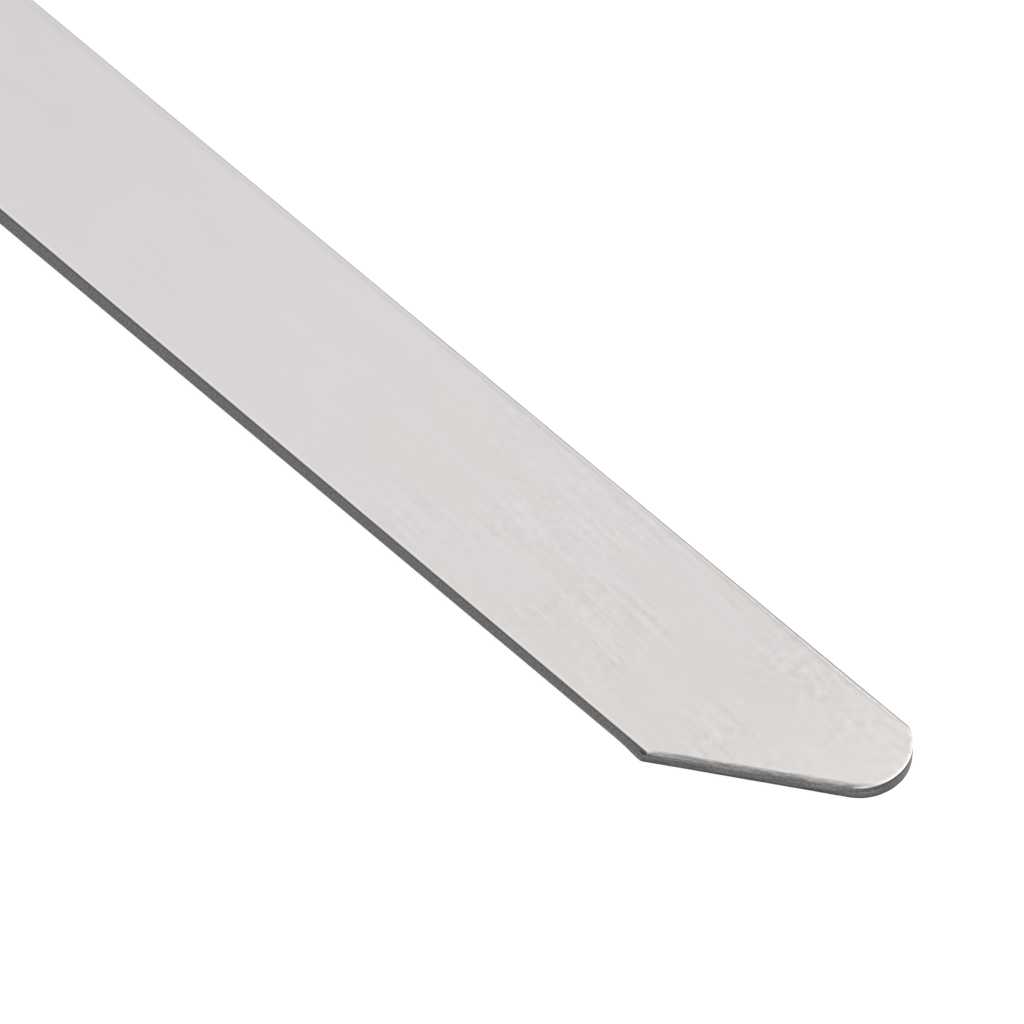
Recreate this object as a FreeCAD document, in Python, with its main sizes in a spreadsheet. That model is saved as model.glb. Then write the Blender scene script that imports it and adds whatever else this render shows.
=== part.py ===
"""A flat steel spudger: one strip of stainless steel, a slanted prying nose at +X and a chisel end at -X.

The frame's origin is under the middle of the bar: +X runs to the slanted nose, +Y to the nose's long side and
+Z up. The bar lies flat on z = 0. Each driving size is a named cell of the sheet "sizes", in millimetres, or
in degrees where its name says angle.
"""

import FreeCAD, Part
import math
import os

import Sketcher

NODE = "spudger_bar"
SHEET = "sizes"

SIZES = {
    "overall_length": (150.0, "from the chisel's edge to the tip of the nose"),
    "strip_width": (10.0, "width of the strip"),
    "strip_thickness": (1.2, "thickness of the strip, away from the nose"),
    "nose_thickness": (0.84, "thickness at the tip of the nose"),
    "taper_length": (62.5, "how far back from the tip the top face slopes"),
    "cut_reach": (9.0, "along the bar, from the start of the slanted cut to the tip"),
    "cut_angle": (34.5, "between the bar's length and the slanted cut"),
    "nose_radius": (2.4, "round from the slanted cut to the tip"),
    "crown_radius": (2.75, "round from the tip to the long side"),
    "side_round": (0.12, "rolled-over top edge of the two long sides"),
    "cut_bevel": (0.16, "ground bevel on top of the slanted cut and the nose"),
    "chisel_length": (6.0, "ground slope of the chisel end, along the bar"),
    "chisel_edge": (0.3, "thickness of the chisel's edge"),
    "chisel_corner": (1.5, "round corners of the chisel end"),
    "overshoot": (1.0, "how far a grinding cut runs past the steel"),
}

START = 1  # a sketch names the first point of a line or arc with this number
END = 2  # and its last point with this one
CENTRE = 3  # and an arc's centre with this one
ORIGIN = (-1, 1)  # a sketch's own zero point
NEARLY = 1e-4  # two lengths closer than this are the same, in mm


def make_sheet(doc):
    """The sheet of driving sizes: one row each, with its name, its value and what it is."""
    sheet = doc.addObject("Spreadsheet::Sheet", SHEET)
    for row, (name, (value, meaning)) in enumerate(SIZES.items(), start=1):
        sheet.set(f"A{row}", name)
        sheet.set(f"B{row}", str(value))
        sheet.setAlias(f"B{row}", name)
        sheet.set(f"C{row}", meaning)
    doc.recompute()
    return sheet


def new_sketch(body, name, role):
    """An empty sketch, flat on the body's own origin plane of that role."""
    plane = next(p for p in body.Origin.OriginFeatures if p.Role == role)
    sketch = body.newObject("Sketcher::SketchObject", name)
    sketch.AttachmentSupport = [(plane, "")]
    sketch.MapMode = "FlatFace"
    return sketch


def drawn_size(sketch, kind, places):
    """The size that a new dimension has as drawn: a radius, a line's angle or a step along one axis."""
    if kind == "Radius":
        return sketch.Geometry[places[0]].Radius
    if kind == "Angle":
        line = sketch.Geometry[places[0]]
        along = line.EndPoint - line.StartPoint
        return math.atan2(along.y, along.x)
    step = sketch.getPoint(*places[2:]) - sketch.getPoint(*places[:2])
    return step.x if kind == "DistanceX" else step.y


def bind(sketch, name, formula, kind, *places):
    """Adds a named dimension to the sketch and binds it to the sheet with a formula."""
    dimension = Sketcher.Constraint(kind, *places, drawn_size(sketch, kind, places))
    index = sketch.addConstraint(dimension)
    sketch.renameConstraint(index, name)
    sketch.setExpression(f"Constraints.{name}", formula)


def constrain(sketch, kind, *places):
    """Adds a constraint that has no size, such as Tangent or Horizontal."""
    sketch.addConstraint(Sketcher.Constraint(kind, *places))


def arc(centre, radius, first, last):
    """An arc that turns anticlockwise round its centre, from the first angle to the last, in radians."""
    circle = Part.Circle(centre, FreeCAD.Vector(0, 0, 1), radius)
    return Part.ArcOfCircle(circle, first, last)


def plan_outline(sheet):
    """The bar seen from above, anticlockwise from the short side, as lines and arcs from end to end.

    The nose's arc touches the slanted cut and has its tip at the bar's full length. The crown's arc goes on
    from that tip, round a centre level with it, until it meets the long side at a slight corner.
    """
    point = FreeCAD.Vector
    half_length = sheet.overall_length / 2
    half_width = sheet.strip_width / 2
    slant = math.radians(sheet.cut_angle)
    nose = sheet.nose_radius
    crown = sheet.crown_radius
    corner = sheet.chisel_corner
    right, up, left, down = 0, math.pi / 2, math.pi, math.pi * 3 / 2

    cut_start = point(half_length - sheet.cut_reach, -half_width)
    tip_y = (nose + (sheet.cut_reach - nose) * math.sin(slant)) / math.cos(slant) - half_width
    nose_arc = arc(point(half_length - nose, tip_y), nose, slant + down, right + 2 * math.pi)
    crown_turn = math.asin((half_width - tip_y) / crown)
    crown_arc = arc(point(half_length - crown, tip_y), crown, right, crown_turn)
    long_corner = arc(point(corner - half_length, half_width - corner), corner, up, left)
    short_corner = arc(point(corner - half_length, corner - half_width), corner, left, down)
    return [
        Part.LineSegment(short_corner.EndPoint, cut_start),
        Part.LineSegment(cut_start, nose_arc.StartPoint),
        nose_arc,
        crown_arc,
        Part.LineSegment(crown_arc.EndPoint, long_corner.StartPoint),
        long_corner,
        Part.LineSegment(long_corner.EndPoint, short_corner.StartPoint),
        short_corner,
    ]


def draw_plan(body, sheet):
    """The sketch of the blank, seen from above, held by its dimensions."""
    sketch = new_sketch(body, "plan", "XY_Plane")
    drawn = sketch.addGeometry(plan_outline(sheet), False)
    short_side, slanted_cut, nose_arc, crown_arc, long_side, long_corner, chisel, short_corner = drawn
    sharp = {short_side, crown_arc}
    for before, after in zip(drawn, drawn[1:] + drawn[:1]):
        constrain(sketch, "Coincident" if before in sharp else "Tangent", before, END, after, START)
    constrain(sketch, "Horizontal", short_side)
    constrain(sketch, "Horizontal", long_side)
    constrain(sketch, "Vertical", chisel)
    constrain(sketch, "Horizontal", nose_arc, CENTRE, nose_arc, END)
    constrain(sketch, "Equal", long_corner, short_corner)

    bind(sketch, "half_width_down", "sizes.strip_width / 2", "DistanceY", short_side, END, *ORIGIN)
    bind(sketch, "half_width_up", "sizes.strip_width / 2", "DistanceY", *ORIGIN, long_side, START)
    bind(sketch, "half_length_back", "sizes.overall_length / 2", "DistanceX", chisel, START, *ORIGIN)
    bind(sketch, "half_length_front", "sizes.overall_length / 2", "DistanceX", *ORIGIN, nose_arc, END)
    bind(sketch, "reach", "sizes.cut_reach", "DistanceX", slanted_cut, START, nose_arc, END)
    bind(sketch, "slant", "sizes.cut_angle * 1 deg", "Angle", slanted_cut)
    bind(sketch, "nose", "sizes.nose_radius", "Radius", nose_arc)
    bind(sketch, "crown", "sizes.crown_radius", "Radius", crown_arc)
    bind(sketch, "corner", "sizes.chisel_corner", "Radius", long_corner)
    return sketch


def draw_slope(body, sheet, name, slope_length, end_thickness, side):
    """The sketch of what a grinding cut takes away, seen from the short side: all that is above the slope.

    The slope falls straight from full thickness to the end's own thickness, and runs on past the end. side is
    +1 for the nose and -1 for the chisel. slope_length and end_thickness are names in the sheet.
    """
    point = FreeCAD.Vector
    inner_x = (sheet.overall_length / 2 - sheet.get(slope_length)) * side
    outer_x = (sheet.overall_length / 2 + sheet.overshoot) * side
    full_z = sheet.strip_thickness
    fall = (full_z - sheet.get(end_thickness)) / sheet.get(slope_length)
    low_z = sheet.get(end_thickness) - fall * sheet.overshoot
    high_z = full_z + sheet.overshoot
    corners = [point(inner_x, full_z), point(outer_x, low_z), point(outer_x, high_z), point(inner_x, high_z)]

    sketch = new_sketch(body, f"{name}_profile", "XZ_Plane")
    lines = [Part.LineSegment(*ends) for ends in zip(corners, corners[1:] + corners[:1])]
    drawn = sketch.addGeometry(lines, False)
    slope, outer_side, top_side, inner_side = drawn
    for before, after in zip(drawn, drawn[1:] + drawn[:1]):
        constrain(sketch, "Coincident", before, END, after, START)
    constrain(sketch, "Vertical", outer_side)
    constrain(sketch, "Horizontal", top_side)
    constrain(sketch, "Vertical", inner_side)

    slope_start, slope_end = (slope, START), (slope, END)
    reaches = {
        "inner_reach": (f"sizes.overall_length / 2 - sizes.{slope_length}", slope_start),
        "outer_reach": ("sizes.overall_length / 2 + sizes.overshoot", slope_end),
    }
    for label, (formula, place) in reaches.items():
        ends = (*ORIGIN, *place) if side > 0 else (*place, *ORIGIN)
        bind(sketch, label, formula, "DistanceX", *ends)
    fall_formula = f"(sizes.strip_thickness - sizes.{end_thickness}) / sizes.{slope_length}"
    low_formula = f"sizes.{end_thickness} - {fall_formula} * sizes.overshoot"
    bind(sketch, "full_thickness", "sizes.strip_thickness", "DistanceY", *ORIGIN, *slope_start)
    bind(sketch, "low_end", low_formula, "DistanceY", *ORIGIN, *slope_end)
    bind(sketch, "high_end", "sizes.strip_thickness + sizes.overshoot", "DistanceY", *ORIGIN, top_side, START)
    return sketch


def cut_slope(body, sketch, name):
    """Grinds away all that the sketch covers, right across the bar."""
    pocket = body.newObject("PartDesign::Pocket", name)
    pocket.Profile = sketch
    pocket.SideType = "Symmetric"
    pocket.Type = "ThroughAll"
    return pocket


def edge_names(shape, wanted):
    """The names of the shape's edges whose sampled points all pass the test."""
    names = []
    for number, edge in enumerate(shape.Edges, start=1):
        if all(wanted(place) for place in edge.discretize(5)):
            names.append(f"Edge{number}")
    return names


def bevel_cut(body, base, sheet):
    """The ground bevel along the top of the slanted cut, round the nose and up to the long side."""
    cut_start = sheet.overall_length / 2 - sheet.cut_reach

    def on_cut(place):
        return place.x > cut_start - NEARLY and place.z > sheet.nose_thickness - NEARLY

    bevel = body.newObject("PartDesign::Chamfer", "cut_bevel")
    bevel.Base = (base, edge_names(base.Shape, on_cut))
    bevel.setExpression("Size", "sizes.cut_bevel")
    return bevel


def round_sides(body, base, sheet):
    """The rolled-over top edges of the two long sides, from the chisel's slope to the nose."""
    half_width = sheet.strip_width / 2

    def on_side(place):
        above_bevel = place.z > sheet.nose_thickness - sheet.cut_bevel / 2
        return above_bevel and abs(place.y) > half_width - NEARLY

    rounding = body.newObject("PartDesign::Fillet", "side_round")
    rounding.Base = (base, edge_names(base.Shape, on_side))
    rounding.setExpression("Radius", "sizes.side_round")
    return rounding


def make_bar(doc, sheet):
    """The whole tool: a blank cut from strip, ground thin towards both ends, with its top edges broken."""
    body = doc.addObject("PartDesign::Body", NODE)
    body.Label = NODE
    body.Placement = FreeCAD.Placement()

    blank = body.newObject("PartDesign::Pad", "blank")
    blank.Profile = draw_plan(body, sheet)
    blank.setExpression("Length", "sizes.strip_thickness")
    taper_profile = draw_slope(body, sheet, "nose_taper", "taper_length", "nose_thickness", side=1)
    nose_taper = cut_slope(body, taper_profile, "nose_taper")
    chisel_profile = draw_slope(body, sheet, "chisel", "chisel_length", "chisel_edge", side=-1)
    chisel = cut_slope(body, chisel_profile, "chisel")
    doc.recompute()
    bevel = bevel_cut(body, chisel, sheet)
    doc.recompute()
    rounding = round_sides(body, bevel, sheet)
    doc.recompute()
    for feature in (nose_taper, chisel, bevel, rounding):
        if feature.Shape.Volume > feature.BaseFeature.Shape.Volume - NEARLY:
            raise RuntimeError(f"{feature.Name} removes nothing")
    return body


def check(doc, bodies):
    """Stops if any object of the document failed, or a sub-part's solid is missing or broken."""
    for item in doc.Objects:
        if {"Invalid", "Error"} & set(item.State):
            raise RuntimeError(f"{item.Name} failed: {item.State}")
    for body in bodies:
        if body.Shape.isNull() or not body.Shape.isValid() or len(body.Shape.Solids) != 1:
            raise RuntimeError(f"{body.Label} is not one sound solid")


def main():
    doc = FreeCAD.newDocument("spudger")
    sheet = make_sheet(doc)
    bodies = [make_bar(doc, sheet)]
    check(doc, bodies)
    os.makedirs("parts", exist_ok=True)
    for body in bodies:
        body.Shape.exportStep(f"parts/{body.Label}.step")
        box = body.Shape.optimalBoundingBox()
        size = f"{box.XLength:.3f} x {box.YLength:.3f} x {box.ZLength:.3f} mm"
        print(f"{body.Label}: {size}, {body.Shape.Volume:.1f} mm3")


main()
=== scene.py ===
"""A satin steel spudger on a pale bench: the finished bar, the floor, the light and the camera.

The bar lies along X on the floor, with its nose at +X. Its near side, at -Y, ends in the slanted cut, and its
far side, at +Y, runs on to the crown of the nose. The chisel is at -X.
Lengths are in metres and angles in radians unless a name says otherwise.
"""

import math

import bmesh
import bpy
import numpy as np
from bpy.props import FloatProperty, FloatVectorProperty, PointerProperty
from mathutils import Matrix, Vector


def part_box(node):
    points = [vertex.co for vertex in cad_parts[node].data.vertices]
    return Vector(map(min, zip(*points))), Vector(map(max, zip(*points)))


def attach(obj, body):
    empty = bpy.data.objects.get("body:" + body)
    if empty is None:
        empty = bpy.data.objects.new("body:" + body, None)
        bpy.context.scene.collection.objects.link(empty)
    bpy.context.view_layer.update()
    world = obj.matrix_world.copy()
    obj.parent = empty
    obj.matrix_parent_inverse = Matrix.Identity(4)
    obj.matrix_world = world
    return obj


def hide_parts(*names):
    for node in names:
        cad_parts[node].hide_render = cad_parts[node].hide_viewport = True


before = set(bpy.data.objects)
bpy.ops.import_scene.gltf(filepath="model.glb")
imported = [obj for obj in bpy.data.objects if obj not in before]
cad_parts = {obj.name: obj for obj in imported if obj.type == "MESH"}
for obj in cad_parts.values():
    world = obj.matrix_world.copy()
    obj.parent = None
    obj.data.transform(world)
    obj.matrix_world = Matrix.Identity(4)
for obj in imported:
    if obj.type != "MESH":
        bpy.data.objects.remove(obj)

bl_info = {
    "name": "Steel Spudger",
    "version": (1, 0, 0),
    "blender": (4, 5, 0),
    "location": "3D View > Sidebar > Spudger",
    "description": "Builds a flat steel spudger with a slanted nose and a chisel end",
    "category": "Add Mesh",
}

NODE = "spudger_bar"
BODY = "root"
PIECE = "finished_bar"
UV_MAP = "steel"
MM = 0.001
MERGE_DISTANCE = 1e-7
RIGHT_ANGLE = math.pi / 2.0
WHITE = (1.0, 1.0, 1.0, 1.0)
LOW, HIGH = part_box(NODE)
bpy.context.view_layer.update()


def length_prop(name, description, default):
    """A length that shows in the panel in its own unit."""
    return FloatProperty(name=name, description=description, default=default, unit="LENGTH", precision=6)


def angle_prop(name, description, degrees):
    """An angle that is given here and shows in the panel in degrees."""
    return FloatProperty(
        name=name, description=description, default=math.radians(degrees), subtype="ANGLE"
    )


def plain_prop(name, description, default):
    """A plain number."""
    return FloatProperty(name=name, description=description, default=default)


def colour_prop(name, description, default):
    """A linear colour that shows in the panel as a swatch."""
    return FloatVectorProperty(
        name=name,
        description=description,
        default=default,
        subtype="COLOR",
        size=3,
        min=0.0,
        max=1.0,
    )


class SPUDGER_PG_sizes(bpy.types.PropertyGroup):
    """Sizes of the bar. The overall ones come from the frame."""

    overall_length: length_prop("Length", "Chisel edge to the tip of the nose", HIGH.x - LOW.x)
    strip_width: length_prop("Width", "Width of the strip", HIGH.y - LOW.y)
    strip_thickness: length_prop("Thickness", "Thickness away from the nose", HIGH.z - LOW.z)
    nose_thickness: length_prop("Nose thickness", "Thickness at the tip of the nose", 0.84 * MM)
    taper_length: length_prop("Taper", "How far back from the tip the top face slopes", 62.5 * MM)
    cut_reach: length_prop("Cut reach", "Start of the slanted cut to the tip, lengthwise", 9.0 * MM)
    cut_angle: angle_prop("Cut angle", "Between the bar's length and the slanted cut", 34.5)
    nose_radius: length_prop("Nose radius", "Round from the slanted cut to the tip", 2.4 * MM)
    crown_radius: length_prop("Crown radius", "Round from the tip to the far side", 2.75 * MM)
    chisel_length: length_prop("Chisel length", "Ground slope of the chisel end", 6.0 * MM)
    chisel_edge: length_prop("Chisel edge", "Thickness of the chisel's edge", 0.3 * MM)
    chisel_corner: length_prop("Chisel corners", "Radius of the chisel's corners", 1.5 * MM)
    worn_corner: length_prop("Worn corners", "Radius left on the nose's two sharp corners", 0.3 * MM)
    roll_width: length_prop("Roll width", "Rounded top edge of the sides and nose, inwards", 0.12 * MM)
    roll_depth: length_prop("Roll depth", "The same edge, downwards", 0.03 * MM)
    shoulder_width: length_prop("Shoulder", "Gentle fall of the face by the far side, inwards", 0.45 * MM)
    shoulder_depth: length_prop("Shoulder depth", "The same fall, downwards", 0.012 * MM)
    bevel_start: length_prop("Bevel start", "Ground bevel where the cut starts, inwards", 0.05 * MM)
    bevel_end: length_prop("Bevel end", "The same bevel where the nose starts, inwards", 0.33 * MM)
    bevel_steep: length_prop("Bevel start depth", "The same bevel, downwards, at its start", 0.27 * MM)
    bevel_shallow: length_prop("Bevel end depth", "The same bevel, downwards, at its end", 0.15 * MM)
    under_break: length_prop("Lower edge", "Broken lower edge, all round", 0.012 * MM)
    tear_slope: length_prop("Torn slope", "How far the torn part of the wall leans in", 0.005 * MM)
    corner_drag: length_prop("Dragged corner", "How far the shear pulled the cut's corner", 0.26 * MM)
    station_step: length_prop("Station step", "Spacing of the mesh along the bar", 0.5 * MM)


class SPUDGER_PG_finish(bpy.types.PropertyGroup):
    """Colours of the steel and of the bench."""

    face: colour_prop("Face", "Satin face near the nose", (0.592, 0.567, 0.552))
    rear: colour_prop("Rear face", "The face away from the nose, a little cooler", (0.595, 0.572, 0.578))
    # The wall's dark grey is partly its rough torn steel and partly painted shade.
    wall: colour_prop("Wall", "Sheared wall, rough and darker", (0.125, 0.125, 0.125))
    bevel: colour_prop("Bevel", "Freshly ground bevel", (0.385, 0.38, 0.375))
    bench: colour_prop("Bench", "Floor's own colour, under its glow", (0.35, 0.35, 0.35))


class SPUDGER_PG_stage(bpy.types.PropertyGroup):
    """Where the camera stands and how bright the sky, the soft box and the bench are."""

    azimuth: angle_prop("Azimuth", "Camera's turn from the -Y side", 47.26)
    elevation: angle_prop("Elevation", "Camera's height angle", 50.0)
    distance: length_prop("Distance", "Camera to the point that it looks at", 694.6 * MM)
    aim_x: length_prop("Aim X", "Point that the camera looks at, along the bar", 50.78 * MM)
    aim_y: length_prop("Aim Y", "The same point, across the bar", 0.762 * MM)
    lens: plain_prop("Lens", "Focal length in millimetres", 520.3)
    zenith: plain_prop("Zenith", "Brightness straight overhead", 1.31)
    horizon: plain_prop("Horizon", "Brightness near the floor", 0.655)
    box_light: plain_prop("Soft box", "Extra brightness behind the nose", 1.5)
    box_azimuth: angle_prop("Box azimuth", "Soft box's turn from the -Y side", 138.0)
    box_elevation: angle_prop("Box elevation", "Soft box's height angle", 30.0)
    box_outer: angle_prop("Box rim", "From the soft box's middle to its rim", 35.0)
    box_inner: angle_prop("Box core", "From its middle to where its light is full", 12.0)
    glow: plain_prop("Bench glow", "Light that comes up through the bench", 0.76)


# ---------------------------------------------------------------- shape of the bar


def smooth_step(value):
    """0 below 0, 1 above 1, and 3 v^2 - 2 v^3 in between."""
    held = np.clip(value, 0.0, 1.0)
    return held * held * (3.0 - 2.0 * held)


def mix(first, second, share):
    """The first value where share is 0 and the second where it is 1."""
    return first + (second - first) * share


def bell(distance, reach):
    """1 at no distance, falling off as exp(-(distance / reach)^2)."""
    return np.exp(-((distance / reach) ** 2))


def waver(along, wavelengths, seed):
    """A smooth unevenness from about -1 to 1: the mean of sine waves, each with a phase of its own."""
    phases = np.random.default_rng(seed).uniform(0.0, 2.0 * math.pi, len(wavelengths))
    waves = [
        np.sin(along * 2.0 * math.pi / length + phase)
        for length, phase in zip(wavelengths, phases)
    ]
    return np.mean(waves, axis=0) * math.sqrt(2.0)


def top_height(sizes, x):
    """The top face's height at x: full thickness, or the lower of two straight slopes towards the ends."""
    half = sizes.overall_length / 2.0
    taper_fall = (sizes.strip_thickness - sizes.nose_thickness) / sizes.taper_length
    chisel_fall = (sizes.strip_thickness - sizes.chisel_edge) / sizes.chisel_length
    taper = sizes.nose_thickness + (half - x) * taper_fall
    chisel = sizes.chisel_edge + (half + x) * chisel_fall
    return np.minimum(np.minimum(taper, chisel), sizes.strip_thickness)


def arc_points(centre_x, centre_y, radius, first, last, count):
    """Points and outward normals on an arc between two angles: centre + radius * (cos, sin)."""
    angle = np.linspace(first, last, count)
    normal = np.stack([np.cos(angle), np.sin(angle)], axis=1)
    return np.array([centre_x, centre_y]) + normal * radius, normal


def line_points(start, end, normal, count):
    """Evenly spaced points from start to end, without the end, all with one normal."""
    share = np.linspace(0.0, 1.0, count, endpoint=False)[:, None]
    points = np.array(start) * (1.0 - share) + np.array(end) * share
    return points, np.tile(normal, (count, 1))


def side_places(sizes, back, front, cut_start):
    """Where the sides' stations stand, from back to front: even steps, with more of them at four places.

    They are closer by the creases at the two slopes' starts, at the cut's first corner and on the nose.
    """
    nose_reach = 8.0 * MM
    crease_gap = 0.1 * MM
    least_gap = 0.02 * MM
    corner_share = 0.6
    plain = np.arange(back, cut_start - nose_reach, sizes.station_step)
    nose = np.linspace(cut_start - nose_reach, front, num=110)
    chisel_line = sizes.chisel_length - sizes.overall_length / 2.0
    taper_line = sizes.overall_length / 2.0 - sizes.taper_length
    creases = np.array([chisel_line - crease_gap, chisel_line, chisel_line + crease_gap, taper_line])
    turn = cut_start + np.linspace(-1.0, 1.0, num=13) * sizes.worn_corner * corner_share
    every = np.unique(np.round(np.concatenate([plain, nose, creases, turn]), decimals=8))
    return every[np.concatenate([[True], np.diff(every) > least_gap])]


def outline(sizes):
    """Stations round the bar seen from above, anticlockwise: edge points, outward normals, spine points.

    The two sides have stations at the same places along the bar, so that both meet at one spine point midway
    between them. Past the spine's two ends, the stations fan out from its last point.
    """
    half_length = sizes.overall_length / 2.0
    half_width = sizes.strip_width / 2.0
    slant = sizes.cut_angle
    worn = sizes.worn_corner
    nose, crown, corner = sizes.nose_radius, sizes.crown_radius, sizes.chisel_corner
    cut_start = half_length - sizes.cut_reach
    tip_y = (nose + (sizes.cut_reach - nose) * math.sin(slant)) / math.cos(slant) - half_width
    short_of_nose = 0.2 * MM
    back, front = corner - half_length, half_length - nose - short_of_nose

    # The near side and the slanted cut, joined by a small worn arc.
    x = side_places(sizes, back, front, cut_start)
    turn_x = cut_start - worn * math.tan(slant / 2.0)
    turn = np.arcsin(np.clip((x - turn_x) / worn, 0.0, math.sin(slant)))
    on_cut = x > turn_x + worn * math.sin(slant)
    cut_y = (x - cut_start) * math.tan(slant) - half_width
    turn_y = worn * (1.0 - np.cos(turn)) - half_width
    low_y = np.where(on_cut, cut_y, turn_y)
    low_points = np.stack([x, low_y], axis=1)
    low_normals = np.stack([np.sin(turn), -np.cos(turn)], axis=1)

    # The nose: the rest of the cut, two arcs, the worn corner and the end of the far side.
    slant_normal = (math.sin(slant), -math.cos(slant))
    nose_start = (half_length - nose + nose * slant_normal[0], tip_y + nose * slant_normal[1])
    worn_y = half_width - worn
    worn_x = half_length - crown + math.sqrt((crown - worn) ** 2 - (worn_y - tip_y) ** 2)
    crown_end = math.atan2(worn_y - tip_y, worn_x - half_length + crown)
    nose_runs = [
        line_points(low_points[-1], nose_start, slant_normal, count=12),
        arc_points(half_length - nose, tip_y, nose, slant - RIGHT_ANGLE, 0.0, count=28),
        arc_points(half_length - crown, tip_y, crown, 0.0, crown_end, count=36),
        arc_points(worn_x, worn_y, worn, crown_end, RIGHT_ANGLE, count=8),
        line_points((worn_x, half_width), (front, half_width), (0.0, 1.0), count=8),
    ]
    high_points = np.stack([x, np.full_like(x, half_width)], axis=1)[::-1]
    high_normals = np.tile((0.0, 1.0), (len(x), 1))

    # The chisel end: two round corners with the straight edge between them.
    round_y = half_width - corner
    chisel_runs = [
        arc_points(back, round_y, corner, RIGHT_ANGLE, math.pi, count=22),
        line_points((-half_length, round_y), (-half_length, -round_y), (-1.0, 0.0), count=40),
        arc_points(back, -round_y, corner, math.pi, math.pi * 1.5, count=22),
    ]

    runs = [(low_points, low_normals), *nose_runs, (high_points, high_normals), *chisel_runs]
    points = np.concatenate([run[0] for run in runs])
    normals = np.concatenate([run[1] for run in runs])
    moved = np.linalg.norm(points - np.roll(points, 1, axis=0), axis=1) > MERGE_DISTANCE
    points, normals = points[moved], normals[moved]

    spine_x = np.clip(points[:, 0], back, front)
    spine_low = np.interp(spine_x, x, low_y)
    spine = np.stack([spine_x, (spine_low + half_width) / 2.0], axis=1)
    return points, normals, spine


def edge_sizes(sizes, points, normals, along):
    """The top edge at each station: what it is like on the sides, mixed into the bevel on the cut.

    The sides and the nose are rounded by a quarter of an ellipse, and the face falls a little by the far
    side. The slanted cut has a nearly flat bevel, steep where the cut starts and wider towards the nose. Each
    share is a smooth step of the way that the edge faces, turned from -Y. All edges are smaller where the
    steel is thinner than the nose.
    """
    half_length = sizes.overall_length / 2.0
    slant = sizes.cut_angle
    cut_start = half_length - sizes.cut_reach
    bevel_fade, nose_rise = math.radians(60.0), math.radians(40.0)
    nose_end, nose_fade = math.radians(178.0), math.radians(10.0)
    in_front = points[:, 0] > cut_start - sizes.worn_corner
    facing = np.arctan2(normals[:, 1], normals[:, 0]) + RIGHT_ANGLE
    bevelled = smooth_step(facing / slant) * smooth_step((slant + bevel_fade - facing) / bevel_fade)
    bevelled = np.where(in_front, bevelled, 0.0)
    nosed = np.where(in_front, smooth_step((facing - slant) / nose_rise), 0.0)
    nosed = nosed * smooth_step((nose_end - facing) / nose_fade)

    # How far down the cut a station is, from 0 at its first corner to 1 where the nose starts.
    corner = np.array([cut_start, -sizes.strip_width / 2.0])
    straight = (sizes.cut_reach - sizes.nose_radius) / math.cos(slant)
    cut_length = straight + sizes.nose_radius * math.tan(slant)
    cut_way = np.array([math.cos(slant), math.sin(slant)])
    down_cut = np.clip((points - corner) @ cut_way / cut_length, 0.0, 1.0)

    # The unevenness of hand grinding and of the rolled edge. The bevel widens a little faster at first.
    hand_share, roll_share, widening = 0.09, 0.15, 0.8
    hand = 1.0 + hand_share * waver(along, [0.9 * MM, 1.7 * MM, 3.1 * MM, 5.3 * MM], seed=3)
    roll = 1.0 + roll_share * waver(along, [1.3 * MM, 4.0 * MM, 9.0 * MM, 23.0 * MM], seed=5)
    bevel_width = mix(sizes.bevel_start, sizes.bevel_end, down_cut**widening) * hand
    bevel_depth = mix(sizes.bevel_steep, sizes.bevel_shallow, down_cut)

    # The shoulder is at its widest along the far side, narrows towards the nose and ends behind the crown.
    least_shoulder, least_fall = 0.06 * MM, 0.001 * MM
    crown_gap, crown_fade = 1.9 * MM, MM
    behind_middle, narrowing_reach, narrow_share = 10.0 * MM, 60.0 * MM, 0.55
    thin = np.clip(top_height(sizes, points[:, 0]) / sizes.nose_thickness, 0.0, 1.0)
    far_side = smooth_step((normals[:, 1] - 0.8) / 0.2)
    fallen = far_side * smooth_step((half_length - crown_gap - points[:, 0]) / crown_fade)
    forward = smooth_step((points[:, 0] + behind_middle) / narrowing_reach)
    shoulder = sizes.shoulder_width * mix(1.0, narrow_share, forward) * roll

    ellipse, nearly_flat = 2.0, 1.45
    most_lean = 0.02 * MM
    cut_lean = mix(0.0, most_lean, down_cut)
    return {
        "width": mix(sizes.roll_width * roll, bevel_width, bevelled) * thin,
        "depth": mix(sizes.roll_depth * roll, bevel_depth, bevelled) * thin,
        "power": mix(ellipse, nearly_flat, bevelled),
        "shoulder": mix(least_shoulder, shoulder, fallen) * thin,
        "fall": mix(least_fall, sizes.shoulder_depth * roll, fallen) * thin,
        "lean": mix(sizes.tear_slope, cut_lean, np.maximum(bevelled, nosed)),
        "bevelled": bevelled,
        "nosed": nosed,
        "far": far_side,
    }


def drag_corner(sizes, skin):
    """Pull the cut's first corner: its top forwards along the side, its foot backwards and out.

    Each move is its length times a bell of the distance from the corner, seen from above. Returns the moved
    points and how deep in the notch under the pulled tongue each one is, from 0 to 1.
    """
    tongue_reach, foot_reach, notch_reach = 0.36 * MM, 1.1 * MM, 0.3 * MM
    tongue_start, tongue_rise = 0.5, 0.45
    notch_height, notch_spread = 0.72, 0.13
    foot_back, foot_out = 0.5, 0.38
    cut_start = sizes.overall_length / 2.0 - sizes.cut_reach
    away = np.hypot(skin[:, :, 0] - cut_start, skin[:, :, 1] + sizes.strip_width / 2.0)
    height = np.clip(skin[:, :, 2] / top_height(sizes, cut_start), 0.0, 1.0)
    tongue = bell(away, tongue_reach) * smooth_step((height - tongue_start) / tongue_rise)
    foot = bell(away, foot_reach) * (1.0 - height)
    moved = skin.copy()
    moved[:, :, 0] += sizes.corner_drag * (tongue - foot_back * foot)
    moved[:, :, 1] -= sizes.corner_drag * foot_out * foot
    notch = bell(away, notch_reach) * bell(height - notch_height, notch_spread)
    return moved, notch


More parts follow.
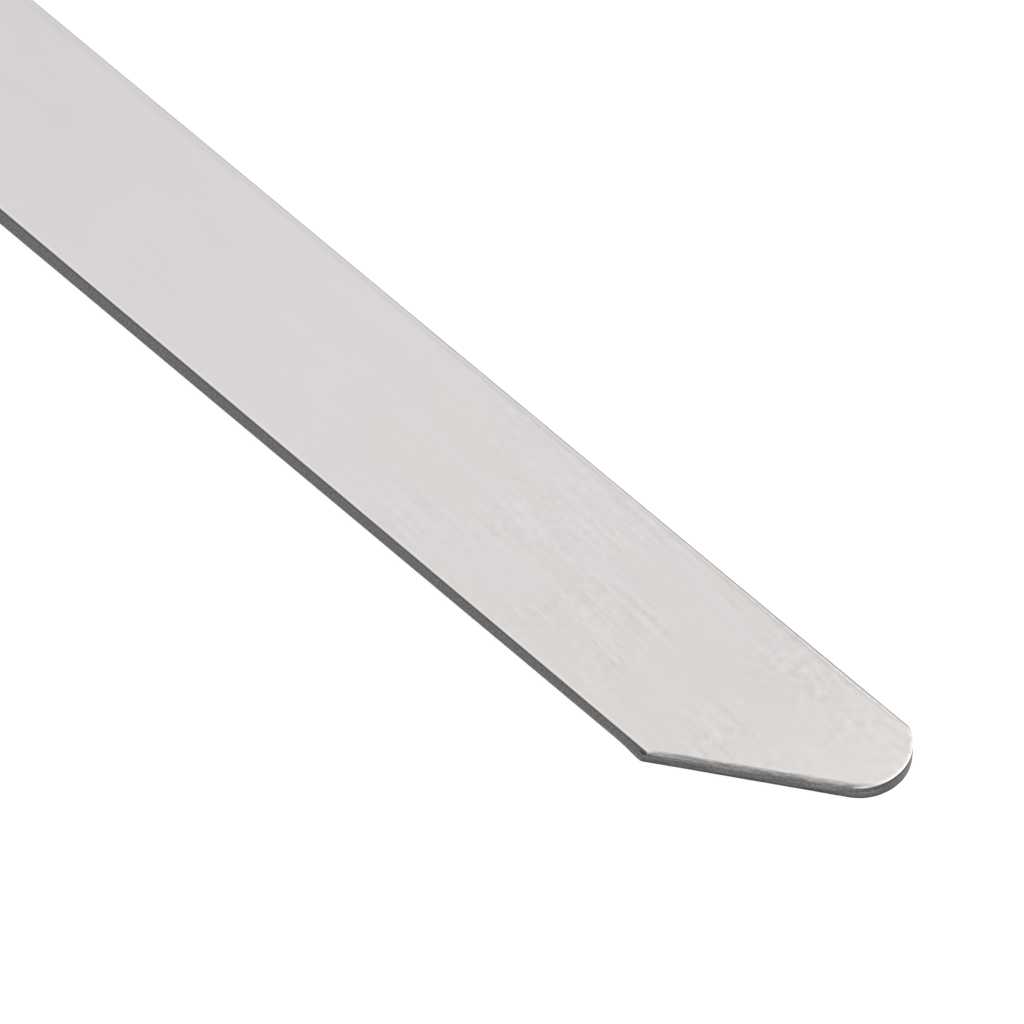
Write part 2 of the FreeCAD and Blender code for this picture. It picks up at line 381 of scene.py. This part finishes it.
def bar_surface(sizes):
    """The whole skin as rings of points: an edge profile carried round the outline, closed on the spine.

    Down the profile a point goes from the spine out over the top face, down the shoulder's smooth step, over
    the edge's quarter of a superellipse, down the wall, which leans in where the steel tore, round the broken
    lower edge and back under to the spine. Returns the points (station, ring, xyz), the place of each one
    along the outline and down the wall, its shares for the materials, and the ring where each zone starts.
    """
    points, normals, spine = outline(sizes)
    steps = np.linalg.norm(np.roll(points, -1, axis=0) - points, axis=1)
    along = np.concatenate([[0.0], np.cumsum(steps)])
    edge = edge_sizes(sizes, points, normals, along[:-1])
    tear_share, tear_start, bevel_rise = 0.3, 0.35, 0.45
    tear = 1.0 + tear_share * waver(along[:-1], [0.7 * MM, 1.9 * MM, 4.3 * MM], seed=8)
    margin = 0.05 * MM
    rings, wall_share, edge_turn = [], [], []

    def add_ring(inwards, drop=None, height=None, reach=1.0, share=0.0, turn_share=1.0):
        """One ring: set back from the outline, drawn to the spine, and below the top or at a height."""
        place = mix(spine, points - normals * inwards[:, None], reach)
        level = top_height(sizes, place[:, 0]) - drop if height is None else height
        rings.append(np.column_stack([place, level + np.zeros(len(points))]))
        wall_share.append(share)
        edge_turn.append(turn_share)

    # The top face, from the spine outwards.
    flat_edge = edge["width"] + edge["shoulder"] + margin
    for reach in (0.0, 0.3, 0.6, 0.8, 0.92, 1.0):
        add_ring(flat_edge, drop=0.0, reach=reach, turn_share=-1.0)
    edge_start = len(rings) - 1

    # The shoulder.
    for fall_share in (0.0, 0.25, 0.5, 0.75):
        inwards = edge["width"] + edge["shoulder"] * (1.0 - fall_share)
        add_ring(inwards, drop=edge["fall"] * smooth_step(fall_share), turn_share=fall_share - 1.0)

    # The rounded edge or the bevel.
    curl = 2.0 / edge["power"]
    for turn_share in np.linspace(0.0, 1.0, num=12):
        turn = turn_share * math.pi / 2.0
        inwards = edge["width"] * (1.0 - math.sin(turn) ** curl)
        drop = edge["fall"] + edge["depth"] * (1.0 - max(math.cos(turn), 0.0) ** curl)
        add_ring(inwards, drop=drop, turn_share=turn_share)
    wall_start = len(rings) - 1

    # The wall, its broken lower edge and the underside.
    wall_top = rings[-1][:, 2]
    for share in (0.05, 0.15, 0.28, 0.4, 0.55, 0.7, 0.85, 0.95, 1.0):
        lean = edge["lean"] * tear * smooth_step((share - tear_start) / (1.0 - tear_start))
        add_ring(lean, height=mix(wall_top, sizes.under_break, share), share=share)
    wall_end = len(rings) - 1
    for turn in np.linspace(0.0, RIGHT_ANGLE, num=4)[1:]:
        inwards = lean + sizes.under_break * (1.0 - math.cos(turn))
        add_ring(inwards, height=sizes.under_break * (1.0 - math.sin(turn)), share=1.0)
    edge_end = len(rings) - 1
    for reach in (1.0, 0.9, 0.6, 0.3, 0.0):
        add_ring(lean + sizes.under_break + margin, height=0.0, reach=reach, share=1.0)

    skin, notch = drag_corner(sizes, np.stack(rings, axis=1))
    down = np.linalg.norm(np.diff(skin, axis=1), axis=2)
    down = np.concatenate([np.zeros((len(points), 1)), np.cumsum(down, axis=1)], axis=1)
    down -= down[:, wall_start][:, None]
    zones = {"edge": edge_start, "wall": wall_start, "foot": wall_end, "under": edge_end}

    chisel_line = sizes.chisel_length - sizes.overall_length / 2.0
    on_slope = skin[:, :, 0] < chisel_line - margin
    above_wall = np.arange(len(rings)) <= wall_start
    bevel_share = edge["bevelled"][:, None] * smooth_step(np.array(edge_turn) / bevel_rise)[None, :]
    shares = {
        "wall_share": np.broadcast_to(np.array(wall_share), notch.shape),
        "edge_turn": np.broadcast_to(np.array(edge_turn), notch.shape),
        "bevel_share": np.maximum(bevel_share, on_slope & above_wall[None, :]),
        "cut_share": np.broadcast_to(edge["bevelled"][:, None], notch.shape),
        "nose_share": np.broadcast_to(edge["nosed"][:, None], notch.shape),
        "far_share": np.broadcast_to(edge["far"][:, None], notch.shape),
        # How deep in the notch under the pulled tongue each point is; the materials paint shade there.
        "notch_share": notch,
    }
    return skin, along, down, shares, zones


def grid_faces(stations, rings):
    """Quads of a grid that is closed round the stations and open down the rings, facing outwards."""
    here = np.arange(stations)[:, None] * rings
    ahead = np.roll(np.arange(stations), -1)[:, None] * rings
    ring = np.arange(rings - 1)[None, :]
    corners = [here + ring, here + ring + 1, ahead + ring + 1, ahead + ring]
    return np.stack(corners, axis=-1).reshape(-1, 4)


def make_bar_mesh(sizes):
    """The bar's mesh, with a UV map in metres, the shares as attributes and a material number per face."""
    skin, along, down, shares, zones = bar_surface(sizes)
    stations, rings = skin.shape[:2]
    faces = grid_faces(stations, rings)
    mesh = bpy.data.meshes.new(PIECE)
    mesh.from_pydata(skin.reshape(-1, 3), [], faces)

    # The flat faces have their own X and Y as UV, and the edge has the places along it and down it.
    ahead = np.roll(down, -1, axis=0)
    edge_v = np.stack([down[:, :-1], down[:, 1:], ahead[:, 1:], ahead[:, :-1]], axis=2)
    edge_u = np.stack([along[:-1], along[:-1], along[1:], along[1:]], axis=1)[:, None, :]
    edge_uv = np.stack([edge_u + np.zeros_like(edge_v), edge_v], axis=3)
    flat_uv = skin.reshape(-1, 3)[faces][:, :, :2].reshape(stations, rings - 1, 4, 2)
    ring = np.arange(rings - 1)
    on_edge = (ring >= zones["edge"]) & (ring < zones["under"])
    uv = np.where(on_edge[None, :, None, None], edge_uv, flat_uv)
    layer = mesh.uv_layers.new(name=UV_MAP)
    layer.uv.foreach_set("vector", uv.reshape(-1).astype(np.float32))
    for name, values in shares.items():
        attribute = mesh.attributes.new(name, "FLOAT", "POINT")
        attribute.data.foreach_set("value", values.reshape(-1).astype(np.float32))

    # Material numbers: 0 the faces, the rounded edges and the bevels, 1 the walls.
    kind = np.zeros((stations, rings - 1), np.int32)
    kind[:, zones["wall"]:zones["foot"]] = 1
    mesh.polygons.foreach_set("material_index", kind.reshape(-1))

    work = bmesh.new()
    work.from_mesh(mesh)
    bmesh.ops.remove_doubles(work, verts=work.verts, dist=MERGE_DISTANCE)
    work.to_mesh(mesh)
    work.free()
    mesh.polygons.foreach_set("use_smooth", np.ones(len(mesh.polygons), bool))
    mesh.update()
    return mesh


# ---------------------------------------------------------------- steps in the materials


def fill_socket(tree, socket, value):
    """Link a socket to another one, or set its own plain value."""
    if isinstance(value, bpy.types.NodeSocket):
        tree.links.new(value, socket)
    else:
        socket.default_value = value


def add_node(tree, kind, inputs=None, **settings):
    """A node with its settings and with plain values or links on its inputs."""
    node = tree.nodes.new(kind)
    for name, value in settings.items():
        setattr(node, name, value)
    for name, value in (inputs or {}).items():
        fill_socket(tree, node.inputs[name], value)
    return node


def maths(tree, operation, first, second):
    """One arithmetic step on two values."""
    node = add_node(tree, "ShaderNodeMath", {0: first, 1: second}, operation=operation)
    return node.outputs["Value"]


def product(tree, *values):
    """All the values multiplied together."""
    result = values[0]
    for value in values[1:]:
        result = maths(tree, "MULTIPLY", result, value)
    return result


def sum_of(tree, *values):
    """All the values added together."""
    result = values[0]
    for value in values[1:]:
        result = maths(tree, "ADD", result, value)
    return result


def rest_of(tree, share):
    """1 minus a share."""
    return maths(tree, "SUBTRACT", 1.0, share)


def between(tree, share, first, second):
    """A value between two others: first where share is 0 and second where it is 1."""
    rise = maths(tree, "SUBTRACT", second, first)
    return maths(tree, "ADD", first, maths(tree, "MULTIPLY", rise, share))


def remap(tree, value, low, high, to_low, to_high):
    """A value carried from one range to another, and clamped."""
    ranges = {"From Min": low, "From Max": high, "To Min": to_low, "To Max": to_high}
    return add_node(tree, "ShaderNodeMapRange", {"Value": value, **ranges}).outputs["Result"]


def ramp(tree, value, low, high):
    """0 up to low and 1 from high."""
    return remap(tree, value, low, high, 0.0, 1.0)


def spread(tree, noise, low, high):
    """A noise carried from the range that it mostly keeps to another."""
    usual_low, usual_high = 0.3, 0.7
    return remap(tree, noise, usual_low, usual_high, low, high)


def hump(tree, value, start, full, fall, end):
    """0 up to start, 1 from full to fall, and 0 again from end."""
    return product(tree, ramp(tree, value, start, full), remap(tree, value, fall, end, 1.0, 0.0))


def noise_at(tree, coordinate, scale, detail):
    """Plain noise. 0.5 is its middle."""
    inputs = {"Vector": coordinate, "Scale": scale, "Detail": detail}
    return add_node(tree, "ShaderNodeTexNoise", inputs).outputs["Fac"]


def streaks(tree, coordinate, length, width, turn=0.0, detail=2.0):
    """Fine lines along X: noise stretched to that length and width, and turned by an angle."""
    scale = (1.0 / length, 1.0 / width, 1.0 / width)
    turned = add_node(tree, "ShaderNodeMapping", {"Vector": coordinate, "Rotation": (0.0, 0.0, -turn)})
    mapped = add_node(tree, "ShaderNodeMapping", {"Vector": turned.outputs["Vector"], "Scale": scale})
    return noise_at(tree, mapped.outputs["Vector"], 1.0, detail)


def dots(tree, coordinate, size, detail=0.0):
    """Even noise with spots of that size."""
    return noise_at(tree, coordinate, 1.0 / size, detail)


def share_of(tree, name):
    """A share that the mesh carries as an attribute."""
    return add_node(tree, "ShaderNodeAttribute", attribute_name=name).outputs["Fac"]


def object_place(tree):
    """A point's place on the piece, and its X and Y."""
    place = add_node(tree, "ShaderNodeTexCoord").outputs["Object"]
    split = add_node(tree, "ShaderNodeSeparateXYZ", {"Vector": place})
    return place, split.outputs["X"], split.outputs["Y"]


def edge_place(tree):
    """A point's place along the edge and down it, from the UV map."""
    return add_node(tree, "ShaderNodeUVMap", uv_map=UV_MAP).outputs["UV"]


def shade(colour, factor=1.0):
    """A colour made lighter or darker by a factor, with full opacity."""
    return (*[channel * factor for channel in colour], 1.0)


def blend(tree, share, first, second, mode="MIX"):
    """A mix of two colours. The node's sockets for colours come after those for values and vectors."""
    factor_in, first_in, second_in, colour_out = 0, 6, 7, 2
    inputs = {factor_in: share, first_in: first, second_in: second}
    node = add_node(tree, "ShaderNodeMix", data_type="RGBA", blend_type=mode)
    for index, value in inputs.items():
        fill_socket(tree, node.inputs[index], value)
    return node.outputs[colour_out]


def toned(tree, colour, tone):
    """A colour multiplied by a grey of one value."""
    grey = add_node(tree, "ShaderNodeCombineXYZ", {"X": tone, "Y": tone, "Z": tone})
    return blend(tree, 1.0, colour, grey.outputs["Vector"], mode="MULTIPLY")


def new_steel(name, anisotropy):
    """An empty steel material: its node tree and its shader, with the values that are the same all over."""
    material = bpy.data.materials.new(name)
    material.use_nodes = True
    tree = material.node_tree
    tree.nodes.clear()
    grain = add_node(tree, "ShaderNodeTangent", direction_type="UV_MAP", uv_map=UV_MAP)
    shader = add_node(
        tree,
        "ShaderNodeBsdfPrincipled",
        {"Metallic": 1.0, "Anisotropic": anisotropy, "Tangent": grain.outputs["Tangent"]},
    )
    output = tree.nodes.new("ShaderNodeOutputMaterial")
    tree.links.new(shader.outputs["BSDF"], output.inputs["Surface"])
    return material, tree, shader


def finish_steel(tree, shader, colour, roughness, height, strength, depth):
    """Give a steel its colour, its roughness and a bump of that strength and depth."""
    tree.links.new(colour, shader.inputs["Base Color"])
    tree.links.new(roughness, shader.inputs["Roughness"])
    inputs = {"Height": height, "Strength": strength, "Distance": depth}
    bump = add_node(tree, "ShaderNodeBump", inputs)
    tree.links.new(bump.outputs["Normal"], shader.inputs["Normal"])


# ---------------------------------------------------------------- materials


def face_tone(tree, place, x):
    """The satin face's tone, its grain and its dark marks.

    The grain, the clouds and the specks are all over. The scuffs, which slant across, and the mottling start
    halfway to the nose and come in patches.
    """
    slant = math.radians(-5.3)
    fine = streaks(tree, place, length=5 * MM, width=0.06 * MM)
    broad = streaks(tree, place, length=14 * MM, width=1.1 * MM)
    cloud = dots(tree, place, 3.0 * MM, detail=3.0)
    patch = dots(tree, place, 4.5 * MM, detail=1.0)
    mottle = dots(tree, place, 0.5 * MM, detail=2.0)
    light_speck = ramp(tree, dots(tree, place, 0.22 * MM), 0.74, 0.80)
    wide_scuff = streaks(tree, place, length=5.0 * MM, width=0.30 * MM, turn=slant, detail=3.0)
    thin_scuff = streaks(tree, place, length=1.0 * MM, width=0.16 * MM, turn=slant, detail=2.0)
    blotch = dots(tree, place, 0.3 * MM, detail=1.0)

    in_patches = remap(tree, patch, 0.42, 0.6, 0.25, 1.0)
    scuffed = product(tree, ramp(tree, x, 38 * MM, 52 * MM), in_patches)
    thin = product(tree, ramp(tree, thin_scuff, 0.54, 0.70), ramp(tree, blotch, 0.40, 0.60))
    dark_marks = product(tree, thin, scuffed)
    more_mottle = remap(tree, x, 62 * MM, 71 * MM, 1.0, 2.2)
    fewer_scuffs = remap(tree, x, 62 * MM, 71 * MM, 1.0, 0.8)
    tone = sum_of(
        tree,
        1.0,
        remap(tree, fine, 0.25, 0.75, -0.008, 0.008),
        spread(tree, broad, -0.006, 0.006),
        spread(tree, cloud, -0.008, 0.008),
        product(tree, spread(tree, mottle, -0.035, 0.035), scuffed, more_mottle),
        product(tree, spread(tree, wide_scuff, -0.05, 0.05), scuffed, fewer_scuffs),
        product(tree, dark_marks, -0.06),
        product(tree, light_speck, 0.02),
        remap(tree, x, 15 * MM, 40 * MM, 0.0, 0.03),
        remap(tree, x, 68 * MM, 73 * MM, 0.0, 0.06),
    )
    return tone, fine, dark_marks


def rim_painted_light(tree, place, x, y):
    """Painted light and shade on the rounded edge: a painted highlight on its inner part, painted shade on
    its outer part.

    The nose's painted highlight is stronger, with a broken pale band of painted highlight inside it at the
    crown. The far side's edge has a dull band of painted shade inside the highlight and gets darker, with
    painted shade, towards the nose.
    """
    turn = share_of(tree, "edge_turn")
    far = share_of(tree, "far_share")
    nose = share_of(tree, "nose_share")
    not_far = rest_of(tree, far)
    ground = maths(tree, "MAXIMUM", nose, share_of(tree, "cut_share"))
    near_side = product(tree, not_far, rest_of(tree, ground))
    broken = remap(tree, dots(tree, place, 0.2 * MM), 0.42, 0.58, 0.2, 1.4)

    # Painted highlight along the inner part of the near side's rounded edge, painted shade along its outer
    # part.
    near_painted_highlight = product(tree, hump(tree, turn, -0.6, -0.1, 0.25, 0.42), near_side, 0.10)
    near_painted_shade = product(tree, remap(tree, turn, 0.38, 0.8, 0.0, -0.6), near_side)
    # Painted highlight on the nose's rounded edge, with a broken pale band of painted highlight at the crown.
    nose_painted_highlight = product(tree, hump(tree, turn, 0.1, 0.35, 0.75, 0.95), nose, not_far, 0.24)
    crown = ramp(tree, y, 1.2 * MM, 3.2 * MM)
    crown_painted_highlight = product(tree, hump(tree, turn, -1.0, -0.7, 0.6, 0.9), nose, crown, broken, 0.12)

    # The far side's painted highlight, a dull band of painted shade inside it, and painted shade along its
    # outer part.
    highlight_halfway = remap(tree, x, 38 * MM, 50 * MM, -0.02, 0.03)
    highlight_by_nose = remap(tree, x, 62 * MM, 70 * MM, 0.0, 0.10)
    far_highlight_line = hump(tree, turn, -0.3, -0.1, 0.05, 0.18)
    far_painted_highlight = product(tree, far_highlight_line, far, broken, sum_of(tree, highlight_halfway, highlight_by_nose))
    dull_shade_depth = remap(tree, x, 25 * MM, 50 * MM, -0.035, -0.07)
    far_painted_dull_shade = product(tree, hump(tree, turn, -1.0, -0.7, -0.4, -0.1), far, dull_shade_depth)
    edge_shade_depth = remap(tree, x, 10 * MM, 72 * MM, -0.08, -0.5)
    far_painted_edge_shade = product(tree, ramp(tree, turn, 0.12, 0.4), far, edge_shade_depth)
    painted_highlights = (near_painted_highlight, nose_painted_highlight, crown_painted_highlight, far_painted_highlight)
    return sum_of(tree, 1.0, *painted_highlights, far_painted_dull_shade, near_painted_shade, far_painted_edge_shade)


def bevel_tone(tree, lines):
    """The ground bevel's tone: lines along the edge with smears and light flecks, and painted shade that
    darkens it downwards.

    It has a painted highlight along the line where it meets the nose, and painted shade in the notch at the
    cut's first corner.
    """
    edge = edge_place(tree)
    turn = share_of(tree, "edge_turn")
    flecks = streaks(tree, edge, length=0.5 * MM, width=0.07 * MM, detail=1.0)
    smears = streaks(tree, edge, length=1.1 * MM, width=0.16 * MM, detail=2.0)
    nose_start = hump(tree, share_of(tree, "nose_share"), 0.0, 0.1, 0.55, 0.9)
    # Painted highlight along the line where the bevel meets the nose.
    painted_highlight_line = product(tree, nose_start, hump(tree, turn, 0.50, 0.65, 0.82, 0.95))
    return product(
        tree,
        spread(tree, lines, 0.78, 1.22),
        spread(tree, smears, 0.70, 1.30),
        sum_of(tree, 1.0, product(tree, painted_highlight_line, 0.8)),
        remap(tree, flecks, 0.60, 0.72, 1.0, 1.7),
        # Painted shade: darker down the bevel.
        remap(tree, turn, 0.2, 1.0, 1.05, 0.55),
        # Painted shade in the notch at the cut's first corner.
        remap(tree, share_of(tree, "notch_share"), 0.1, 0.7, 1.0, 0.25),
    )


def satin_steel(colours):
    """Rolled satin faces whose worn edges carry painted light and shade, and the duller ground steel of the
    bevel and the chisel's slope.
    """
    material, tree, shader = new_steel("satin_steel", anisotropy=0.3)
    place, x, y = object_place(tree)
    bevel = share_of(tree, "bevel_share")

    tone, fine, dark_marks = face_tone(tree, place, x)
    # Painted highlights and painted shade along the rounded edges.
    tone = product(tree, tone, rim_painted_light(tree, place, x, y))
    tint = streaks(tree, place, length=14 * MM, width=3 * MM)
    tinted_x = maths(tree, "ADD", x, spread(tree, tint, -14 * MM, 14 * MM))
    near_nose = ramp(tree, tinted_x, 46 * MM, 60 * MM)
    base = blend(tree, near_nose, shade(colours.rear), shade(colours.face))
    face = toned(tree, base, tone)

    lines = streaks(tree, edge_place(tree), length=1.3 * MM, width=0.05 * MM, detail=3.0)
    # The bevel's tone holds painted shade, darker downwards and in the notch, and a painted highlight by the
    # nose.
    ground = toned(tree, shade(colours.bevel), bevel_tone(tree, lines))
    colour = blend(tree, bevel, face, ground)

    face_rough = sum_of(tree, spread(tree, fine, 0.34, 0.39), product(tree, dark_marks, 0.1))
    rough = between(tree, bevel, face_rough, spread(tree, lines, 0.34, 0.5))
    face_height = sum_of(tree, fine, product(tree, dark_marks, -0.8))
    height = between(tree, bevel, face_height, product(tree, lines, 6.0))
    finish_steel(tree, shader, colour, rough, height, strength=0.1, depth=0.003 * MM)
    return material


def sheared_steel(colours):
    """The cut wall, rough, and dark partly from painted shade: plain speckle on the long sides, drawn-out
    lines round the nose.

    It is darkest in a thin line of painted shade under the top edge. The sides get a painted reflection of
    the floor, lighter at the foot towards the cut, and the ground part gets painted shade, darker downwards,
    with a painted lighter band halfway down the nose.
    """
    material, tree, shader = new_steel("sheared_steel", anisotropy=0.0)
    x = object_place(tree)[1]
    edge = edge_place(tree)
    share = share_of(tree, "wall_share")
    nose = share_of(tree, "nose_share")
    cut = share_of(tree, "cut_share")
    speckle = streaks(tree, edge, length=0.13 * MM, width=0.10 * MM, detail=2.0)
    lines = streaks(tree, edge, length=2.0 * MM, width=0.13 * MM, detail=3.0)
    drawn = streaks(tree, edge, length=6.0 * MM, width=0.25 * MM, detail=1.0)

    # Painted reflection of the floor: the side walls lighter at the foot towards the cut.
    foot = ramp(tree, share, 0.7, 1.0)
    foot_painted_reflection = product(tree, foot, remap(tree, x, 55 * MM, 64 * MM, 0.06, 0.4))
    side_painted_light = sum_of(tree, 1.0, foot_painted_reflection)
    side_tone = product(tree, spread(tree, speckle, 0.35, 1.65), side_painted_light)

    # Painted shade down the cut's wall, and painted light and shade in bands down the nose's wall.
    cut_painted_shade = remap(tree, share, 0.0, 0.9, 1.5, 0.66)
    painted_band_top = remap(tree, share, 0.1, 0.45, 0.6, 1.0)
    painted_band_foot = remap(tree, share, 0.6, 0.95, 1.15, 0.62)
    ground_painted_light_and_shade = between(tree, nose, cut_painted_shade, product(tree, painted_band_top, painted_band_foot))
    drawn_out = product(tree, spread(tree, lines, 0.60, 1.40), spread(tree, drawn, 0.85, 1.15))
    ground_tone = product(tree, drawn_out, ground_painted_light_and_shade, spread(tree, speckle, 0.6, 1.4))

    # Painted shade in a thin line under the top edge.
    top_painted_shade = remap(tree, share, 0.05, 0.2, between(tree, cut, 0.5, 1.0), 1.0)
    # Painted shade in the notch at the cut's first corner.
    notch = remap(tree, share_of(tree, "notch_share"), 0.1, 0.7, 1.0, 0.2)
    wall_tone = between(tree, maths(tree, "MAXIMUM", cut, nose), side_tone, ground_tone)
    tone = product(tree, wall_tone, top_painted_shade, notch)
    colour = toned(tree, shade(colours.wall), tone)
    rough = spread(tree, speckle, 0.42, 0.58)
    finish_steel(tree, shader, colour, rough, tone, strength=0.3, depth=0.01 * MM)
    return material


def pale_bench(colours, glow):
    """A matt floor like a lit white table, very slightly uneven in tone."""
    material = bpy.data.materials.new("pale_bench")
    material.use_nodes = True
    tree = material.node_tree
    shader = tree.nodes["Principled BSDF"]
    place = add_node(tree, "ShaderNodeTexCoord").outputs["Object"]
    cloud = noise_at(tree, place, 2.0, 2.0)
    colour = blend(tree, cloud, shade(colours.bench, 0.995), shade(colours.bench, 1.005))
    tree.links.new(colour, shader.inputs["Base Color"])
    shader.inputs["Roughness"].default_value = 0.9
    shader.inputs["Specular IOR Level"].default_value = 0.1
    shader.inputs["Emission Color"].default_value = WHITE
    shader.inputs["Emission Strength"].default_value = glow
    return material


# ---------------------------------------------------------------- stage


def lay_floor(scene):
    """A wide round floor just under the bar: one disc of many sides."""
    radius, sides, gap = 14.0, 96, 0.02 * MM
    turn = np.arange(sides) * 2.0 * math.pi / sides
    rim = np.stack([np.cos(turn) * radius, np.sin(turn) * radius, np.full(sides, -gap)], axis=1)
    mesh = bpy.data.meshes.new("bench")
    mesh.from_pydata(rim, [], [list(range(sides))])
    mesh.materials.append(pale_bench(scene.spudger_finish, scene.spudger_stage.glow))
    bench = bpy.data.objects.new("bench", mesh)
    scene.collection.objects.link(bench)


def pointing(azimuth, elevation):
    """The way out from the bar at an azimuth, turned from the -Y side towards +X, and an elevation."""
    level = math.cos(elevation)
    return Vector((math.sin(azimuth) * level, -math.cos(azimuth) * level, math.sin(elevation)))


def light_sky(scene, stage):
    """An even sky, dim at the floor's level and brightest overhead, with one soft box behind the nose.

    The box is a round patch: its share is a ramp of the cosine between the direction and the box's own.
    """
    world = bpy.data.worlds.new("studio")
    scene.world = world
    world.use_nodes = True
    tree = world.node_tree
    background = tree.nodes["Background"]
    direction = add_node(tree, "ShaderNodeTexCoord").outputs["Generated"]
    upwards = add_node(tree, "ShaderNodeSeparateXYZ", {"Vector": direction}).outputs["Z"]
    sky = remap(tree, upwards, 0.0, 1.0, stage.horizon, stage.zenith)
    towards = {0: direction, 1: tuple(pointing(stage.box_azimuth, stage.box_elevation))}
    dot = add_node(tree, "ShaderNodeVectorMath", towards, operation="DOT_PRODUCT")
    rim, core = math.cos(stage.box_outer), math.cos(stage.box_inner)
    box = remap(tree, dot.outputs["Value"], rim, core, 0.0, stage.box_light)
    tree.links.new(maths(tree, "ADD", sky, box), background.inputs["Strength"])
    background.inputs["Color"].default_value = WHITE
    scene.view_settings.view_transform = "Standard"


def set_camera(scene, stage):
    """A long lens aimed at the nose's half of the bar, from the nose's own side and halfway up."""
    back = pointing(stage.azimuth, stage.elevation)
    data = bpy.data.cameras.new("camera")
    data.lens = stage.lens
    data.sensor_width = 36.0
    data.clip_start = 0.01
    data.clip_end = 100.0
    camera = bpy.data.objects.new("camera", data)
    camera.location = Vector((stage.aim_x, stage.aim_y, 0.0)) + back * stage.distance
    camera.rotation_mode = "QUATERNION"
    camera.rotation_quaternion = (-back).to_track_quat("-Z", "Y")
    scene.collection.objects.link(camera)
    scene.camera = camera


# ---------------------------------------------------------------- operators and panel


class SPUDGER_OT_bar(bpy.types.Operator):
    """Build the finished steel bar in place of the plain one"""

    bl_idname = "spudger.bar"
    bl_label = "Finished Bar"

    def execute(self, context):
        scene = context.scene
        bar = bpy.data.objects.new(PIECE, make_bar_mesh(scene.spudger_sizes))
        scene.collection.objects.link(bar)
        for make_material in (satin_steel, sheared_steel):
            bar.data.materials.append(make_material(scene.spudger_finish))
        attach(bar, BODY)
        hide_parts(NODE)
        return {"FINISHED"}


class SPUDGER_OT_stage(bpy.types.Operator):
    """Lay the pale floor, light it softly from all round and set the camera"""

    bl_idname = "spudger.stage"
    bl_label = "Floor, Light and Camera"

    def execute(self, context):
        scene = context.scene
        stage = scene.spudger_stage
        lay_floor(scene)
        light_sky(scene, stage)
        set_camera(scene, stage)
        return {"FINISHED"}


GROUPS = {
    "spudger_sizes": SPUDGER_PG_sizes,
    "spudger_finish": SPUDGER_PG_finish,
    "spudger_stage": SPUDGER_PG_stage,
}
OPERATORS = (SPUDGER_OT_bar, SPUDGER_OT_stage)


class SPUDGER_PT_panel(bpy.types.Panel):
    """The spudger's tab in the 3D view's sidebar"""

    bl_idname = "SPUDGER_PT_panel"
    bl_label = "Steel Spudger"
    bl_space_type = "VIEW_3D"
    bl_region_type = "UI"
    bl_category = "Spudger"

    def draw(self, context):
        layout = self.layout
        for title, group in GROUPS.items():
            settings = getattr(context.scene, title)
            box = layout.box()
            for name in group.__annotations__:
                box.prop(settings, name)
        for operator in OPERATORS:
            layout.operator(operator.bl_idname)


def register():
    """Make the settings, the operators and the panel known, and hang the settings on the scene."""
    for name, group in GROUPS.items():
        bpy.utils.register_class(group)
        setattr(bpy.types.Scene, name, PointerProperty(type=group))
    for operator in OPERATORS:
        bpy.utils.register_class(operator)
    bpy.utils.register_class(SPUDGER_PT_panel)


def unregister():
    """Take away what register added, last first."""
    bpy.utils.unregister_class(SPUDGER_PT_panel)
    for operator in reversed(OPERATORS):
        bpy.utils.unregister_class(operator)
    for name, group in reversed(GROUPS.items()):
        delattr(bpy.types.Scene, name)
        bpy.utils.unregister_class(group)


def main():
    """Build the bar and its stage."""
    register()
    bpy.ops.spudger.bar()
    bpy.ops.spudger.stage()


if __name__ == "__main__":
    main()
